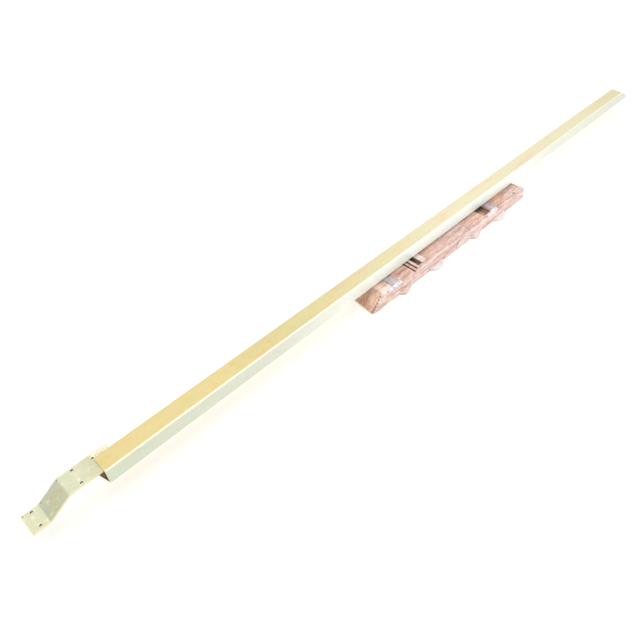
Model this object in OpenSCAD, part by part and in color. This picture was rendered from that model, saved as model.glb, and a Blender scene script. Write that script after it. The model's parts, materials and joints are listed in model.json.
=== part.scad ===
// Long-handled wooden float: a folded steel channel handle that swivels on the middle of a
// rough wooden blade. It is drawn parked, with the handle lying along the blade.
// Origin: middle of the blade's sole, under the swivel. +X runs along the handle towards the
// plugged end, +Y points out of the open side of the channel, +Z is up.

/* [Handle channel] */
// Length of the channel
handle_len = 2000; // [1200:10:2600]
// Outer width of the channel, across the blade
section_w = 37; // [36:1:60]
// Outer height of the channel
section_h = 40; // [36:1:60]
// Sheet thickness of the channel
wall = 2; // [1.5:0.1:3]
// Outer radius of the two folds
fold_r = 3.5; // [3.2:0.1:5]
// How far the lower flange's back corner runs past the square-cut near end
skew_cut = 8; // [0:1:15]
// How far the lower corner runs past the upper flange at the plugged end
far_cut = 56; // [20:1:80]

/* [End strap] */
// Width of the flat strap
strap_w = 44; // [40:1:60]
// Thickness of the strap
strap_t = 4; // [3:0.5:6]
// How far the strap's middle line sits behind the channel's middle line
strap_shift = 9; // [4:0.5:12]
// Length of strap under the upper flange
strap_inside = 30; // [26:1:80]
// Length of the level part outside the channel, to the first bend
strap_level = 62; // [50:1:120]
// Length along X of the sloping part
strap_run = 43; // [25:1:80]
// Height that the slope drops
strap_drop = 30; // [10:1:34]
// Length of the flat foot past the second bend
strap_foot = 32; // [28:1:80]
// Inside radius of the strap's bends
strap_bend = 6; // [3:0.5:8]
// Diameter of the bolt holes in the strap
strap_hole_d = 4.5; // [4:0.1:8]
// Distance between the two holes of a pair
strap_hole_gap = 32; // [24:1:34]
// Width of the weld bead that holds the strap
weld_w = 6; // [4:0.5:8]

/* [Blade] */
// Length of the blade at the sole
blade_len = 686; // [600:2:900]
// Distance from the middle line to the front edge
blade_front = 55.5; // [50:0.5:90]
// Distance from the middle line to the back edge
blade_back = 48; // [44:1:90]
// Thickness of the blade
blade_t = 37; // [30:1:50]
// Length that the near end slopes in over the thickness
near_slope = 38; // [10:1:60]
// Length that the far end slopes in above its upright part
far_slope = 27; // [10:1:40]
// Height of the far end's upright part
far_face_h = 17; // [8:1:26]
// Radius of the near corners, seen from above
near_corner_r = 8; // [4:1:30]
// Radius of the far corners, seen from above
far_corner_r = 24; // [10:1:40]
// How far the knotty swellings stand out of the front edge
swell_out = 13; // [6:1:18]
// Height of the knotty swellings above the sole
swell_h = 24; // [14:1:28]

/* [Bands and lugs] */
// Width of the band near the strap end
near_band_w = 24; // [15:1:30]
// Distance from the swivel to the middle of that band
near_band_at = 255; // [235:1:265]
// Width of the band near the plugged end
far_band_w = 21; // [15:1:26]
// Distance from the swivel to the middle of that band
far_band_at = 169; // [160:1:220]
// Thickness of both bands
band_t = 1.6; // [1.2:0.1:2]
// Depth that bands, bars and the wear plate are let into the wood
let_in = 1; // [0.6:0.1:1.2]
// Length of the folded bar that holds down each band's front end
bar_len = 50; // [40:1:60]
// Width of that folded bar
bar_w = 10; // [8:0.5:12]
// Width of each half-round lug, where it leaves the wood
lug_w = 56; // [40:1:70]
// How far each lug stands out of the wood
lug_out = 13; // [6:1:16]
// Thickness of the lugs
lug_t = 2.5; // [2:0.5:4]
// Height of the lugs above the sole
lug_z = 4; // [2:0.5:20]
// Distance from the swivel to the middle of the near lug
near_lug_at = 97; // [60:1:120]
// Distance from the swivel to the middle of the far lug
far_lug_at = 192; // [180:1:240]
// Distance from the swivel to the wear plate's middle
wear_at = 140; // [125:1:160]
// Width of the wear plate
wear_w = 18; // [12:1:24]

/* [Swivel] */
// Diameter of the swivel stud
stud_d = 8; // [6:0.5:10]
// Radial running clearance on the stud
run_fit = 0.05; // [0.02:0.01:0.1]
// Gap between blade and channel
swivel_gap = 3; // [3:0.1:5]
// Length of the swivel plate, along the handle
plate_len = 90; // [70:1:130]
// Width of the swivel plate
plate_w = 34; // [30:1:40]
// Thickness of the swivel plate
plate_t = 2.5; // [2:0.1:3]
// Diameter of the bearing washer between plate and channel
bearing_d = 30; // [24:1:34]
// Diameter of the clamp washer under the wing nut
washer_d = 24; // [20:1:28]
// Height of the wing nut's hub
nut_h = 9; // [7:0.5:12]

/* [End plug] */
// Length of the plug inside the channel
plug_in = 30; // [20:1:60]
// How far the plug stands out of the slanted end
plug_out = 3; // [1:0.5:6]

/* [Hidden] */
$fn = 64;

eps = 0.01;              // overshoot of a cutting tool
slip = 0.2;              // side clearance of a let-in piece
face_gap = 0.05;         // clearance between flat faces that slide on each other
screw_r = 2;             // shank radius of the wood screws
screw_head_r = 4;        // head radius of the countersunk screws
screw_head_h = 2;        // height of a countersunk head
screw_len = 20;          // length of the wood screws
driver_w = 1;            // width of a screwdriver slot
driver_d = 0.9;          // depth of a screwdriver slot
nail_r = 1;              // radius of the small pins and nails
nail_deep = 12;          // depth of the nails and pins below the blade's top

handle_z = blade_t + swivel_gap;              // underside of the channel
handle_top = handle_z + section_h;            // top of the channel
near_x = -handle_len / 2;                     // square-cut near end
far_x = handle_len / 2;                       // end of the upper flange at the plugged end
nose_h = 9;                                   // height of the upright edge below the slant
nose_z = handle_z + nose_h;
cut_fall = (section_h - wall - nose_h) / far_cut;   // how steeply the slant falls

band_y0 = -blade_front + 3;                   // front end of both bands
band_y1 = blade_back - 3;                     // back end of both bands
band_z = blade_t - let_in;                    // underside of both bands
near_band_x = -near_band_at;
far_band_x = far_band_at;
bar_y0 = -blade_front - 1;                    // front edge of both bars
bar_nail_y = band_y0 + 2.5;                   // row of nails through the bars
bar_overlap = 3;                              // how far each bar runs past the middle of its own side
near_bar_x = near_band_x - (bar_len - near_band_w) / 2 + bar_overlap;
far_bar_x = far_band_x + far_band_w / 2 - 6.5 - bar_len / 2;
band_screw_ys = [-10, band_y1 - 9];           // screw places along each band

wear_x = -wear_at;
wear_len_y = blade_front + 8;                 // wear plate length, across the blade
wear_y0 = -blade_front + 11;
wear_t = 2;
wear_proud = 0.2;                             // how far the wear plate stands above the wood
wear_z = blade_t - wear_t + wear_proud;
cut_y1 = blade_back - 14;                     // back end of slot, kerfs and pocket
slot_w = 14;                                  // width of the slot beside the wear plate
slot_x = wear_x - wear_w / 2 - 2 - slot_w / 2;
kerf_w = 3;                                 // width of the saw kerfs
kerf_deep = 5;                                // depth of the saw kerfs
kerf_xs = [slot_x - 18, slot_x - 30];
pocket_w = 36;                                // pocket beside the far band
pocket_x = far_band_x - far_band_w / 2 - 5 - pocket_w / 2;
pocket_y0 = -blade_front + 9;
pocket_deep = 7;

near_lug_x = -near_lug_at;
far_lug_x = far_lug_at;
lug_r = (lug_w * lug_w / 4 + lug_out * lug_out) / (2 * lug_out);
lug_root = 24;                                // length of each lug inside the wood
lug_root_w = 30;                              // width of that root
lug_pin_z = 1;                                // lower end of the lugs' pins
lug_pin_len = lug_z + lug_t + 7;
swell_xs = [-217, 84];                        // middles of the knotty swellings
swell_w = 64;                                 // width of a swelling along the front edge
swell_r = (swell_w * swell_w / 4 + swell_out * swell_out) / (2 * swell_out);

plate_z = blade_t - let_in;                   // underside of the swivel plate
plate_top = plate_z + plate_t;
plate_screw_x = plate_len / 2 - 9;
plate_screw_y = plate_w / 2 - 7;
stud_r = stud_d / 2;
stud_head_r = stud_r + 4;
stud_head_h = 3;
bearing_t = handle_z - face_gap - plate_top;
bush_r = stud_r + 2;                          // outside of the bush in the lower flange
bush_flange_r = bush_r + 3;
bush_flange_t = 1.5;
washer_t = 1.6;
washer_z = handle_z + wall + bush_flange_t;
nut_z = washer_z + washer_t + face_gap;
wing_r = section_w / 2 - wall - 1.5;          // reach of the wings, clear of the web
wing_t = 3;
hub_r = stud_r + 3;
pin_z = nut_z + nut_h + 3.6;                  // height of the stop pin
pin_r = 1.25;
pin_len = 2 * hub_r - 1;
stud_top = pin_z + 3.5;

strap_z = handle_top - wall;                  // top face of the strap's level part
strap_y0 = strap_shift - strap_w / 2;
bend_x1 = near_x - strap_level;               // corner line of the first bend
bend_x2 = bend_x1 - strap_run;                // corner line of the second bend
strap_end = bend_x2 - strap_foot;
slope_a = atan2(strap_drop, strap_run);       // slope of the middle part
bend_cut = (strap_bend + strap_t / 2) * tan(slope_a / 2);   // length a bend takes off a straight
bend_steps = 8;                               // flats that make up each surface of a bend
strap_x1 = near_x + strap_inside;
strap_hole_xs = [near_x - 0.6 * strap_level, bend_x2 - strap_foot / 2 + 1];
tab_hole_y = section_w / 2 + 2.3;             // small hole in the part behind the channel
weld_x0 = near_x + 3;
weld_len = strap_inside - 4;

plug_gap = 1.2;                               // room for the folds at the plug's front corners
plug_screw_x = far_x - plug_in / 2;
plug_screw_len = 18;
pan_r = 4;
pan_h = 2.2;

// Quarter of a folded corner, centred on the fold
module fold_quarter(r_out, t) {
  intersection() {
    difference() {
      circle(r_out);
      circle(r_out - t);
    }
    translate([-r_out, 0]) square(r_out);
  }
}

// Channel section: x is the row's Y, y is height above the channel's underside
module channel_profile() {
  half = section_w / 2;
  translate([-half, fold_r]) square([wall, section_h - 2 * fold_r]);
  translate([-half + fold_r, 0]) square([section_w - fold_r, wall]);
  translate([-half + fold_r, section_h - wall]) square([section_w - fold_r, wall]);
  translate([-half + fold_r, section_h - fold_r]) fold_quarter(fold_r, wall);
  translate([-half + fold_r, fold_r]) mirror([0, 1]) fold_quarter(fold_r, wall);
}

// Extrudes a section drawn in Y and Z along X
module along_x(x0, length) {
  translate([x0, 0, 0]) rotate([90, 0, 90]) linear_extrude(length) children();
}

// Extrudes a section drawn in X and Z along Y
module along_y(y0, length) {
  translate([0, y0 + length, 0]) rotate([90, 0, 0]) linear_extrude(length) children();
}

// Slotted countersunk wood screw with its head flush at z = 0
module wood_screw(length) {
  difference() {
    union() {
      translate([0, 0, -screw_head_h]) cylinder(h = screw_head_h, r1 = screw_r, r2 = screw_head_r);
      translate([0, 0, -length]) cylinder(h = length - screw_head_h, r = screw_r);
    }
    translate([-screw_head_r, -driver_w / 2, -driver_d])
      cube([2 * screw_head_r, driver_w, driver_d + eps]);
  }
}

// Space that a wood screw fills, cut a little past its head
module screw_space(length) {
  translate([0, 0, -screw_head_h]) cylinder(h = screw_head_h, r1 = screw_r, r2 = screw_head_r);
  cylinder(h = eps, r = screw_head_r);
  translate([0, 0, -length]) cylinder(h = length - screw_head_h + eps, r = screw_r);
}

module at_band_screws(band_x) {
  for (y = band_screw_ys) translate([band_x, y, band_z + band_t]) children();
}

module at_plate_screws() {
  for (x = [-plate_screw_x, plate_screw_x], y = [-plate_screw_y, plate_screw_y])
    translate([x, y, plate_top]) children();
}

module at_bar_nails() {
  for (bar_x = [near_bar_x, far_bar_x], side = [-1, 1])
    translate([bar_x + side * (bar_len / 2 - 6), bar_nail_y, 0]) children();
}

module at_wear_pins() {
  for (y = [wear_y0 + 7, wear_y0 + wear_len_y - 7]) translate([wear_x, y, 0]) children();
}

module at_lug_pins() {
  for (x = [near_lug_x, far_lug_x]) translate([x, -blade_front + lug_root / 2, 0]) children();
}

module end_screw_place() {
  translate([blade_len / 2 - far_slope - 46, -blade_front + 9, blade_t]) children();
}

// One half of the blade's outline seen from above, with round corners towards +X
module half_plan(corner_r) {
  x = blade_len / 2 - corner_r;
  y0 = -blade_front + corner_r;
  y1 = blade_back - corner_r;
  translate([-eps, y0]) square([blade_len / 2 + eps, y1 - y0]);
  translate([-eps, -blade_front]) square([x + eps, blade_front + blade_back]);
  for (y = [y0, y1]) translate([x, y]) circle(corner_r);
}

// Blade outline seen from above
module blade_plan() {
  half_plan(far_corner_r);
  mirror([1, 0]) half_plan(near_corner_r);
}

// Blade outline seen from the front
module blade_side() {
  x = blade_len / 2;
  polygon([[-x, 0], [x, 0], [x, far_face_h], [x - far_slope, blade_t], [-x + near_slope, blade_t]]);
}

// Part of a round disc that stands out of the front edge
module edge_segment(r, out, h) {
  intersection() {
    translate([0, -blade_front - out + r, 0]) cylinder(h = h, r = r);
    translate([-r, -blade_front - out - eps, 0]) cube([2 * r, out + 2 * eps, h]);
  }
}

// Half-round lug with its root in the wood
module lug(x) {
  translate([x, 0, lug_z]) {
    intersection() {
      translate([0, -blade_front - lug_out + lug_r, 0]) cylinder(h = lug_t, r = lug_r);
      translate([-lug_r, -blade_front - lug_out - eps, 0]) cube([2 * lug_r, lug_out + eps, lug_t]);
    }
    translate([-lug_root_w / 2, -blade_front, 0]) cube([lug_root_w, lug_root, lug_t]);
  }
}

module lug_space(x) {
  translate([x - lug_root_w / 2, -blade_front - eps, lug_z])
    cube([lug_root_w, lug_root + eps, lug_t]);
}

module flat_strip(x, w, y0, y1, z0, t) {
  translate([x - w / 2, y0, z0]) cube([w, y1 - y0, t]);
}

// Shallow recess for a piece that is let into the blade's top, with its side clearance
module let_in_space(x, w, y0, y1, z0) {
  flat_strip(x, w + 2 * slip, y0 - slip, y1 + slip, z0, blade_t - z0 + eps);
}

// Folded bar: flat strip with a rounded front edge
module folded_bar(x) {
  z0 = band_z + band_t;
  t = band_t;
  translate([x - bar_len / 2, bar_y0 + t / 2, z0]) cube([bar_len, bar_w - t / 2, t]);
  translate([x - bar_len / 2, bar_y0 + t / 2, z0 + t / 2]) rotate([0, 90, 0])
    cylinder(h = bar_len, r = t / 2);
}

module blade() {
  color("rosybrown") difference() {
    union() {
      intersection() {
        linear_extrude(blade_t) blade_plan();
        along_y(-blade_front, blade_front + blade_back) blade_side();
      }
      for (x = swell_xs) translate([x, 0, 0]) edge_segment(swell_r, swell_out, swell_h);
    }
    let_in_space(near_band_x, near_band_w, band_y0, band_y1, band_z);
    let_in_space(far_band_x, far_band_w, band_y0, band_y1, band_z);
    let_in_space(wear_x, wear_w, wear_y0, wear_y0 + wear_len_y, wear_z);
    let_in_space(0, plate_len, -plate_w / 2, plate_w / 2, plate_z);
    flat_strip(slot_x, slot_w, wear_y0, cut_y1, blade_t - pocket_deep, pocket_deep + eps);
    flat_strip(pocket_x, pocket_w, pocket_y0, cut_y1, blade_t - pocket_deep, pocket_deep + eps);
    for (x = kerf_xs)
      flat_strip(x, kerf_w, wear_y0 - 6, cut_y1, blade_t - kerf_deep, kerf_deep + eps);
    translate([0, 0, plate_z - stud_head_h]) cylinder(h = stud_head_h + eps, r = stud_head_r);
    at_plate_screws() screw_space(screw_len);
    at_band_screws(near_band_x) screw_space(screw_len);
    at_band_screws(far_band_x) screw_space(screw_len);
    at_wear_pins() translate([0, 0, blade_t - nail_deep]) cylinder(h = nail_deep + eps, r = nail_r);
    at_bar_nails() translate([0, 0, blade_t - nail_deep]) cylinder(h = nail_deep + eps, r = nail_r);
    at_lug_pins() translate([0, 0, lug_pin_z]) cylinder(h = lug_pin_len, r = nail_r);
    end_screw_place() screw_space(screw_len);
    lug_space(near_lug_x);
    lug_space(far_lug_x);
  }
}

module band(x, w) {
  difference() {
    flat_strip(x, w, band_y0, band_y1, band_z, band_t);
    at_band_screws(x) screw_space(screw_len);
    at_bar_nails() translate([0, 0, blade_t - nail_deep]) cylinder(h = 2 * nail_deep, r = nail_r);
  }
}

module near_band() {
  color("lightslategray") band(near_band_x, near_band_w);
}

module far_band() {
  color("lightslategray") band(far_band_x, far_band_w);
}

module bar(x) {
  difference() {
    folded_bar(x);
    at_bar_nails() translate([0, 0, blade_t - nail_deep]) cylinder(h = 2 * nail_deep, r = nail_r);
  }
}

module near_band_bar() {
  color("lavender") bar(near_bar_x);
}

module far_band_bar() {
  color("lavender") bar(far_bar_x);
}

module near_band_screws() {
  color("gray") at_band_screws(near_band_x) wood_screw(screw_len);
}

module far_band_screws() {
  color("gray") at_band_screws(far_band_x) wood_screw(screw_len);
}

module bar_nails() {
  nail_top = band_z + 2 * band_t;
  color("gray") at_bar_nails() translate([0, 0, blade_t - nail_deep])
    cylinder(h = nail_top - blade_t + nail_deep, r = nail_r);
}

module wear_plate() {
  color("tan") difference() {
    flat_strip(wear_x, wear_w, wear_y0, wear_y0 + wear_len_y, wear_z, wear_t);
    at_wear_pins() translate([0, 0, blade_t - nail_deep]) cylinder(h = 2 * nail_deep, r = nail_r);
  }
}

module wear_plate_pins() {
  color("gray") at_wear_pins() translate([0, 0, blade_t - nail_deep])
    cylinder(h = nail_deep + wear_proud, r = nail_r);
}

module near_lug() {
  color("whitesmoke") difference() {
    lug(near_lug_x);
    at_lug_pins() cylinder(h = blade_t, r = nail_r);
  }
}

module far_lug() {
  color("whitesmoke") difference() {
    lug(far_lug_x);
    at_lug_pins() cylinder(h = blade_t, r = nail_r);
  }
}

module lug_pins() {
  color("gray") at_lug_pins() translate([0, 0, lug_pin_z]) cylinder(h = lug_pin_len, r = nail_r);
}

module end_screw() {
  color("gray") end_screw_place() wood_screw(screw_len);
}

module swivel_plate() {
  color("silver") difference() {
    flat_strip(0, plate_len, -plate_w / 2, plate_w / 2, plate_z, plate_t);
    translate([0, 0, plate_z - eps]) cylinder(h = plate_t + 2 * eps, r = stud_r);
    at_plate_screws() screw_space(screw_len);
  }
}

module swivel_plate_screws() {
  color("gray") at_plate_screws() wood_screw(screw_len);
}

module swivel_stud() {
  tip = 1;
  color("dimgray") difference() {
    union() {
      translate([0, 0, plate_z - stud_head_h]) cylinder(h = stud_head_h, r = stud_head_r);
      translate([0, 0, plate_z]) cylinder(h = stud_top - tip - plate_z, r = stud_r);
      translate([0, 0, stud_top - tip]) cylinder(h = tip, r1 = stud_r, r2 = stud_r - tip);
    }
    translate([-stud_r - eps, 0, pin_z]) rotate([0, 90, 0]) cylinder(h = stud_d + 2 * eps, r = pin_r);
  }
}

module bearing_washer() {
  color("ivory") translate([0, 0, plate_top]) difference() {
    cylinder(h = bearing_t, d = bearing_d);
    translate([0, 0, -eps]) cylinder(h = bearing_t + 2 * eps, r = stud_r);
  }
}

module stop_pin() {
  color("silver") translate([-pin_len / 2, 0, pin_z]) rotate([0, 90, 0]) cylinder(h = pin_len, r = pin_r);
}

module channel() {
  half = section_w / 2;
  color("goldenrod") difference() {
    union() {
      along_x(near_x, handle_len + far_cut) translate([0, handle_z]) channel_profile();
      translate([0, 0, handle_z]) linear_extrude(wall)
        polygon([[near_x, -half + fold_r], [near_x - skew_cut, half], [near_x + wall, half],
          [near_x + wall, -half + fold_r]]);
    }
    translate([0, 0, handle_z - eps]) cylinder(h = wall + 2 * eps, r = bush_r);
    translate([plug_screw_x, 0, handle_z - eps]) cylinder(h = wall + 2 * eps, r = screw_r);
    along_y(-section_w, 2 * section_w) far_end_waste();
  }
}

// Waste of the slanted far end, seen from the front
module far_end_waste() {
  x1 = far_x + far_cut + eps;
  polygon([[far_x, handle_top - wall], [far_x + far_cut, nose_z], [x1, nose_z],
    [x1, handle_top + eps], [far_x, handle_top + eps]]);
}

// Points along one surface of a bend
function bend_arc(centre, r, a0, a1) =
  [for (i = [0:bend_steps]) let (a = a0 + (a1 - a0) * i / bend_steps) centre + r * [cos(a), sin(a)]];

// Strap outline seen from the front, at its own height
module strap_side() {
  outer_r = strap_bend + strap_t;
  centre1 = [bend_x1 + bend_cut, strap_z - outer_r];
  centre2 = [bend_x2 - bend_cut, strap_z - strap_drop + strap_bend];
  upper = concat([[strap_x1, strap_z]], bend_arc(centre1, outer_r, 90, 90 + slope_a),
    bend_arc(centre2, strap_bend, 270 + slope_a, 270), [[strap_end, strap_z - strap_drop]]);
  lower = concat([[strap_end, strap_z - strap_drop - strap_t]],
    bend_arc(centre2, outer_r, 270, 270 + slope_a),
    bend_arc(centre1, strap_bend, 90 + slope_a, 90), [[strap_x1, strap_z - strap_t]]);
  polygon(concat(upper, lower));
}

module end_strap() {
  color("darkkhaki") difference() {
    along_y(strap_y0, strap_w) strap_side();
    for (x = strap_hole_xs, side = [-1, 1])
      translate([x, strap_shift + side * strap_hole_gap / 2, handle_z - section_h])
        cylinder(h = 3 * section_h, d = strap_hole_d);
    translate([near_x - 0.5, tab_hole_y, handle_z]) cylinder(h = section_h, d = 4);
  }
}

// Weld bead in the corner between the upper flange's edge and the strap
module strap_weld() {
  y = section_w / 2;
  color("whitesmoke") along_x(weld_x0, weld_len)
    polygon([[y, strap_z], [y + weld_w, strap_z], [y + 0.85 * weld_w, strap_z + 0.5 * wall],
      [y + 0.6 * weld_w, strap_z + 0.9 * wall], [y + 0.3 * weld_w, handle_top], [y, handle_top]]);
}

module swivel_bush() {
  color("peru") translate([0, 0, handle_z]) difference() {
    union() {
      cylinder(h = wall, r = bush_r);
      translate([0, 0, wall]) cylinder(h = bush_flange_t, r = bush_flange_r);
    }
    translate([0, 0, -eps]) cylinder(h = wall + bush_flange_t + 2 * eps, r = stud_r + run_fit);
  }
}

module clamp_washer() {
  color("silver") translate([0, 0, washer_z]) difference() {
    cylinder(h = washer_t, d = washer_d);
    translate([0, 0, -eps]) cylinder(h = washer_t + 2 * eps, r = stud_r + 0.5);
  }
}

// Plug section: x is the row's Y, y is height above the channel's underside
module plug_profile() {
  y0 = -section_w / 2 + wall + slip;
  y1 = section_w / 2;
  z1 = section_h - wall;
  corner = plug_gap + fold_r - wall;
  polygon([[y0 + corner, wall], [y1, wall], [y1, z1], [y0 + corner, z1], [y0, z1 - corner],
    [y0, wall + corner]]);
}

// Plug outline seen from the front, with a nose that follows the slanted end
module plug_side() {
  x0 = far_x - plug_in;
  x1 = far_x + far_cut + plug_out;
  z0 = handle_z + wall;
  z1 = handle_top - wall;
  polygon([[x0, z0], [x1, z0], [x1, z1 + plug_out - cut_fall * (far_cut + plug_out)],
    [far_x + plug_out / cut_fall, z1], [x0, z1]]);
}

module end_plug() {
  color("burlywood") difference() {
    intersection() {
      along_x(far_x - plug_in, plug_in + far_cut + plug_out) translate([0, handle_z]) plug_profile();
      along_y(-section_w, 2 * section_w) plug_side();
    }
    translate([plug_screw_x, 0, handle_z + wall - eps])
      cylinder(h = plug_screw_len - wall + eps, r = screw_r);
  }
}

module plug_screw() {
  color("gray") translate([plug_screw_x, 0, handle_z]) difference() {
    union() {
      cylinder(h = plug_screw_len, r = screw_r);
      translate([0, 0, -pan_h]) cylinder(h = pan_h, r = pan_r);
    }
    translate([-pan_r, -driver_w / 2, -pan_h - eps]) cube([2 * pan_r, driver_w, driver_d + eps]);
  }
}

// One wing, drawn as radius and height
module wing() {
  k = wing_r / 16.5;
  translate([0, wing_t / 2, 0]) rotate([90, 0, 0]) linear_extrude(wing_t)
    polygon([[stud_r + 1.5, 1], [10 * k, 2.5], [15 * k, 8], [wing_r, 13], [15 * k, 15], [12 * k, 14.5],
      [9.5 * k, nut_h + 1.5], [stud_r + 1.5, nut_h]]);
}

module wing_nut() {
  color("silver") translate([0, 0, nut_z]) difference() {
    union() {
      cylinder(h = nut_h, r1 = hub_r + 1, r2 = hub_r);
      wing();
      mirror([1, 0, 0]) wing();
    }
    translate([0, 0, -eps]) cylinder(h = nut_h + 2 * eps, r = stud_r + run_fit);
  }
}

blade();
near_band();
far_band();
near_band_bar();
far_band_bar();
near_band_screws();
far_band_screws();
bar_nails();
wear_plate();
wear_plate_pins();
near_lug();
far_lug();
lug_pins();
end_screw();
swivel_plate();
swivel_plate_screws();
swivel_stud();
bearing_washer();
stop_pin();
channel();
end_strap();
strap_weld();
swivel_bush();
clamp_washer();
end_plug();
plug_screw();
wing_nut();
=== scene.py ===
"""Visual model of a wooden float with a long channel handle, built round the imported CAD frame.

The camera, the lights and the materials are in metres. The mesh code works in millimetres, and multiplies
by MM when it makes a mesh.
"""
import json
import math

import bmesh
import bpy
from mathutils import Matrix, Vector, noise


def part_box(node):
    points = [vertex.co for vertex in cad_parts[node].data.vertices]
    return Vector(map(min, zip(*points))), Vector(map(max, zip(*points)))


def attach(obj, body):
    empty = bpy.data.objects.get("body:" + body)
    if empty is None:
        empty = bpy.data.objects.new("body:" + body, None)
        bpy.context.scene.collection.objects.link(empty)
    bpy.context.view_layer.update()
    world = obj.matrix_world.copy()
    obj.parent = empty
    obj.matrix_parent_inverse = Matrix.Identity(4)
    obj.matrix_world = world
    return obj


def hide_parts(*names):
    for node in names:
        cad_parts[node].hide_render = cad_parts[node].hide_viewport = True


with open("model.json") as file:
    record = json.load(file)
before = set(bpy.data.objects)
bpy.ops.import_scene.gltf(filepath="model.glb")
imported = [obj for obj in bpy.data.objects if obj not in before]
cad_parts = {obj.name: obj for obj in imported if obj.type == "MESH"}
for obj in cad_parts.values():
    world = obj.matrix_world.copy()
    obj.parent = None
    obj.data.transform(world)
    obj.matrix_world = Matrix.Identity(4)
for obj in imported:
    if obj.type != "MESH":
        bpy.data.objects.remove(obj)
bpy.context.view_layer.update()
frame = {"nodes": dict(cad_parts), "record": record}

MM = 0.001
FLOOR_HALF = 9.0
FLOOR_DROP = 0.0004


# ---------------------------------------------------------------- camera, lights and floor

CAMERA_AT = (-1.107, -0.6212, 0.9499)
CAMERA_LOOKS = (0.5029, 0.4853, -0.715)
FOCAL_MM = 32.6


def make_camera():
    data = bpy.data.cameras.new("camera")
    data.sensor_width = 36.0
    data.lens = FOCAL_MM
    data.clip_start = 0.05
    data.clip_end = 60.0
    camera = bpy.data.objects.new("camera", data)
    camera.location = CAMERA_AT
    camera.rotation_mode = "QUATERNION"
    camera.rotation_quaternion = Vector(CAMERA_LOOKS).to_track_quat("-Z", "Y")
    bpy.context.collection.objects.link(camera)
    bpy.context.scene.camera = camera


def area_light(name, at, target, size, watts, colour=(1.0, 1.0, 1.0)):
    data = bpy.data.lights.new(name, "AREA")
    data.shape = "RECTANGLE"
    data.size, data.size_y = size
    data.energy = watts
    data.color = colour
    lamp = bpy.data.objects.new(name, data)
    lamp.location = at
    lamp.rotation_mode = "QUATERNION"
    lamp.rotation_quaternion = (Vector(target) - Vector(at)).to_track_quat("-Z", "Y")
    bpy.context.collection.objects.link(lamp)


def make_world():
    world = bpy.data.worlds.new("studio")
    bpy.context.scene.world = world
    world.use_nodes = True
    background = world.node_tree.nodes["Background"]
    background.inputs["Color"].default_value = (1.0, 1.0, 1.0, 1.0)
    background.inputs["Strength"].default_value = 0.62


def make_floor():
    mesh = bpy.data.meshes.new("floor")
    half = FLOOR_HALF
    corners = [(-half, -half, 0), (half, -half, 0), (half, half, 0), (-half, half, 0)]
    mesh.from_pydata(corners, [], [(0, 1, 2, 3)])
    floor = bpy.data.objects.new("floor", mesh)
    floor.location = (0, 0, -FLOOR_DROP)
    bpy.context.collection.objects.link(floor)
    material = bpy.data.materials.new("floor_paper")
    material.use_nodes = True
    shader = material.node_tree.nodes["Principled BSDF"]
    shader.inputs["Base Color"].default_value = (0.93, 0.93, 0.92, 1.0)
    shader.inputs["Roughness"].default_value = 0.85
    shader.inputs["Emission Color"].default_value = (1.0, 1.0, 1.0, 1.0)
    shader.inputs["Emission Strength"].default_value = 0.12
    mesh.materials.append(material)


make_camera()
make_world()
make_floor()
area_light("key", (0.9, -2.6, 2.4), (0, 0, 0), (2.6, 1.8), 46)
area_light("top", (-0.4, 0.6, 3.2), (0, 0, 0), (4.0, 3.0), 50)
area_light("back", (-1.6, 2.4, 1.6), (0, 0, 0), (2.0, 1.2), 14)
area_light("front", (0.3, -2.3, 0.75), (0, 0, 0.04), (2.6, 0.7), 6)
bpy.context.scene.view_settings.view_transform = "Standard"


# ---------------------------------------------------------------- materials

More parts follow.
